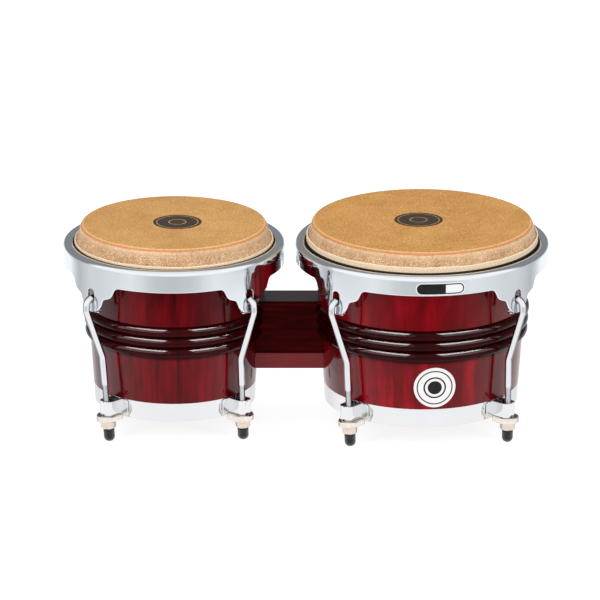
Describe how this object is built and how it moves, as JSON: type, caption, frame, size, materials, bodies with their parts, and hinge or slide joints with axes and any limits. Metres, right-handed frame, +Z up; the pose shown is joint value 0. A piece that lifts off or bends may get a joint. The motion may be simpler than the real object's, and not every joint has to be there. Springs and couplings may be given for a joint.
{
  "type": "bongo drums",
  "caption": "Pair of joined hand drums, one small and one large, with hide heads, skirted chrome rims, hooked tension rods and rubber feet.",
  "frame": {"origin": "on the resting plane under the rubber tips, at the middle of the overall box in X and Y", "axes": "+Z up along the drum axes, +X from the small drum to the large drum, -Y towards the side with the round badge"},
  "size_m": [0.446, 0.2338, 0.1921],
  "materials": {
    "shell_wood": "red stained, high gloss lacquer",
    "ring_wood": "dark red stained, high gloss lacquer",
    "block_wood": "dark red stained, gloss lacquer",
    "chrome": "polished chrome plate",
    "nickel": "warm bright nickel plate",
    "zinc": "zinc plated steel",
    "hoop_steel": "plain steel wire hoop",
    "brass": "machined brass",
    "hide": "natural buffalo hide, smooth grain side",
    "rubber": "matte black rubber",
    "badge": "glossy plain label"
  },
  "bodies": {
    "root": {"small_shell": "shell_wood", "small_ring_upper": "ring_wood", "small_ring_middle": "ring_wood", "small_ring_lower": "ring_wood", "small_bottom_band": "chrome", "small_head_skin": "hide", "small_lug_brackets": "chrome", "small_washer_plates": "nickel", "small_backing_plate": "zinc", "small_block_bolts": "zinc", "large_shell": "shell_wood", "large_ring_upper": "ring_wood", "large_ring_middle": "ring_wood", "large_ring_lower": "ring_wood", "large_bottom_band": "chrome", "large_head_skin": "hide", "large_lug_brackets": "chrome", "large_washer_plates": "nickel", "large_backing_plate": "zinc", "large_block_bolts": "zinc", "center_block": "block_wood", "block_inserts": "brass", "large_badge": "badge"},
    "small_rim": {"small_flesh_hoop": "hoop_steel", "small_rim": "chrome"},
    "small_rod_1": {"small_rod_1": "chrome", "small_tip_1": "rubber"},
    "small_nut_1": {"small_nut_1": "nickel"},
    "small_rod_2": {"small_rod_2": "chrome", "small_tip_2": "rubber"},
    "small_nut_2": {"small_nut_2": "nickel"},
    "small_rod_3": {"small_rod_3": "chrome", "small_tip_3": "rubber"},
    "small_nut_3": {"small_nut_3": "nickel"},
    "small_rod_4": {"small_rod_4": "chrome", "small_tip_4": "rubber"},
    "small_nut_4": {"small_nut_4": "nickel"},
    "large_rim": {"large_flesh_hoop": "hoop_steel", "large_rim": "chrome", "large_rim_label": "badge"},
    "large_rod_1": {"large_rod_1": "chrome", "large_tip_1": "rubber"},
    "large_nut_1": {"large_nut_1": "nickel"},
    "large_rod_2": {"large_rod_2": "chrome", "large_tip_2": "rubber"},
    "large_nut_2": {"large_nut_2": "nickel"},
    "large_rod_3": {"large_rod_3": "chrome", "large_tip_3": "rubber"},
    "large_nut_3": {"large_nut_3": "nickel"},
    "large_rod_4": {"large_rod_4": "chrome", "large_tip_4": "rubber"},
    "large_nut_4": {"large_nut_4": "nickel"}
  },
  "joints": [
    {"name": "small_rim_tune", "type": "slide", "parent": "root", "child": "small_rim", "axis": [0, 0, -1], "range_m": [-0.001, 0.004]},
    {"name": "small_rod_1_slide", "type": "slide", "parent": "root", "child": "small_rod_1", "axis": [-0.0731, 0.023, -0.9971], "range_m": [-0.00101, 0.00403]},
    {"name": "small_nut_1_turn", "type": "hinge", "parent": "root", "child": "small_nut_1", "pos_m": [-0.06271, 0.06365, 0.00002], "axis": [0.0731, -0.023, 0.9971], "range_deg": [-364, 1450]},
    {"name": "small_rod_2_slide", "type": "slide", "parent": "root", "child": "small_rod_2", "axis": [-0.023, -0.0731, -0.9971], "range_m": [-0.00101, 0.00403]},
    {"name": "small_nut_2_turn", "type": "hinge", "parent": "root", "child": "small_nut_2", "pos_m": [-0.18478, 0.05842, 0.00002], "axis": [0.023, 0.0731, 0.9971], "range_deg": [-364, 1450]},
    {"name": "small_rod_3_slide", "type": "slide", "parent": "root", "child": "small_rod_3", "axis": [0.0731, -0.023, -0.9971], "range_m": [-0.00101, 0.00403]},
    {"name": "small_nut_3_turn", "type": "hinge", "parent": "root", "child": "small_nut_3", "pos_m": [-0.17955, -0.06365, 0.00002], "axis": [-0.0731, 0.023, 0.9971], "range_deg": [-364, 1450]},
    {"name": "small_rod_4_slide", "type": "slide", "parent": "root", "child": "small_rod_4", "axis": [0.023, 0.0731, -0.9971], "range_m": [-0.00101, 0.00403]},
    {"name": "small_nut_4_turn", "type": "hinge", "parent": "root", "child": "small_nut_4", "pos_m": [-0.05748, -0.05842, 0.00002], "axis": [-0.023, -0.0731, 0.9971], "range_deg": [-364, 1450]},
    {"name": "large_rim_tune", "type": "slide", "parent": "root", "child": "large_rim", "axis": [0, 0, -1], "range_m": [-0.001, 0.004]},
    {"name": "large_rod_1_slide", "type": "slide", "parent": "root", "child": "large_rod_1", "axis": [-0.0409, 0.0006, -0.9992], "range_m": [-0.00101, 0.00403]},
    {"name": "large_nut_1_turn", "type": "hinge", "parent": "root", "child": "large_nut_1", "pos_m": [0.17224, 0.07772, 0], "axis": [0.0409, -0.0006, 0.9992], "range_deg": [-364, 1450]},
    {"name": "large_rod_2_slide", "type": "slide", "parent": "root", "child": "large_rod_2", "axis": [-0.0006, -0.0409, -0.9992], "range_m": [-0.00101, 0.00403]},
    {"name": "large_nut_2_turn", "type": "hinge", "parent": "root", "child": "large_nut_2", "pos_m": [0.02861, 0.06591, 0], "axis": [0.0006, 0.0409, 0.9992], "range_deg": [-364, 1450]},
    {"name": "large_rod_3_slide", "type": "slide", "parent": "root", "child": "large_rod_3", "axis": [0.0409, -0.0006, -0.9992], "range_m": [-0.00101, 0.00403]},
    {"name": "large_nut_3_turn", "type": "hinge", "parent": "root", "child": "large_nut_3", "pos_m": [0.04042, -0.07772, 0], "axis": [-0.0409, 0.0006, 0.9992], "range_deg": [-364, 1450]},
    {"name": "large_rod_4_slide", "type": "slide", "parent": "root", "child": "large_rod_4", "axis": [0.0006, 0.0409, -0.9992], "range_m": [-0.00101, 0.00403]},
    {"name": "large_nut_4_turn", "type": "hinge", "parent": "root", "child": "large_nut_4", "pos_m": [0.18405, -0.06591, 0], "axis": [-0.0006, -0.0409, 0.9992], "range_deg": [-364, 1450]}
  ],
  "couplings": [
    {"joint": "small_rod_1_slide", "follows": "small_rim_tune", "ratio": 1.0029},
    {"joint": "small_nut_1_turn", "follows": "small_rim_tune", "rad_per_m": 6301.7},
    {"joint": "small_rod_2_slide", "follows": "small_rim_tune", "ratio": 1.0029},
    {"joint": "small_nut_2_turn", "follows": "small_rim_tune", "rad_per_m": 6301.7},
    {"joint": "small_rod_3_slide", "follows": "small_rim_tune", "ratio": 1.0029},
    {"joint": "small_nut_3_turn", "follows": "small_rim_tune", "rad_per_m": 6301.7},
    {"joint": "small_rod_4_slide", "follows": "small_rim_tune", "ratio": 1.0029},
    {"joint": "small_nut_4_turn", "follows": "small_rim_tune", "rad_per_m": 6301.7},
    {"joint": "large_rod_1_slide", "follows": "large_rim_tune", "ratio": 1.0008},
    {"joint": "large_nut_1_turn", "follows": "large_rim_tune", "rad_per_m": 6288.4},
    {"joint": "large_rod_2_slide", "follows": "large_rim_tune", "ratio": 1.0008},
    {"joint": "large_nut_2_turn", "follows": "large_rim_tune", "rad_per_m": 6288.4},
    {"joint": "large_rod_3_slide", "follows": "large_rim_tune", "ratio": 1.0008},
    {"joint": "large_nut_3_turn", "follows": "large_rim_tune", "rad_per_m": 6288.4},
    {"joint": "large_rod_4_slide", "follows": "large_rim_tune", "ratio": 1.0008},
    {"joint": "large_nut_4_turn", "follows": "large_rim_tune", "rad_per_m": 6288.4}
  ]
}
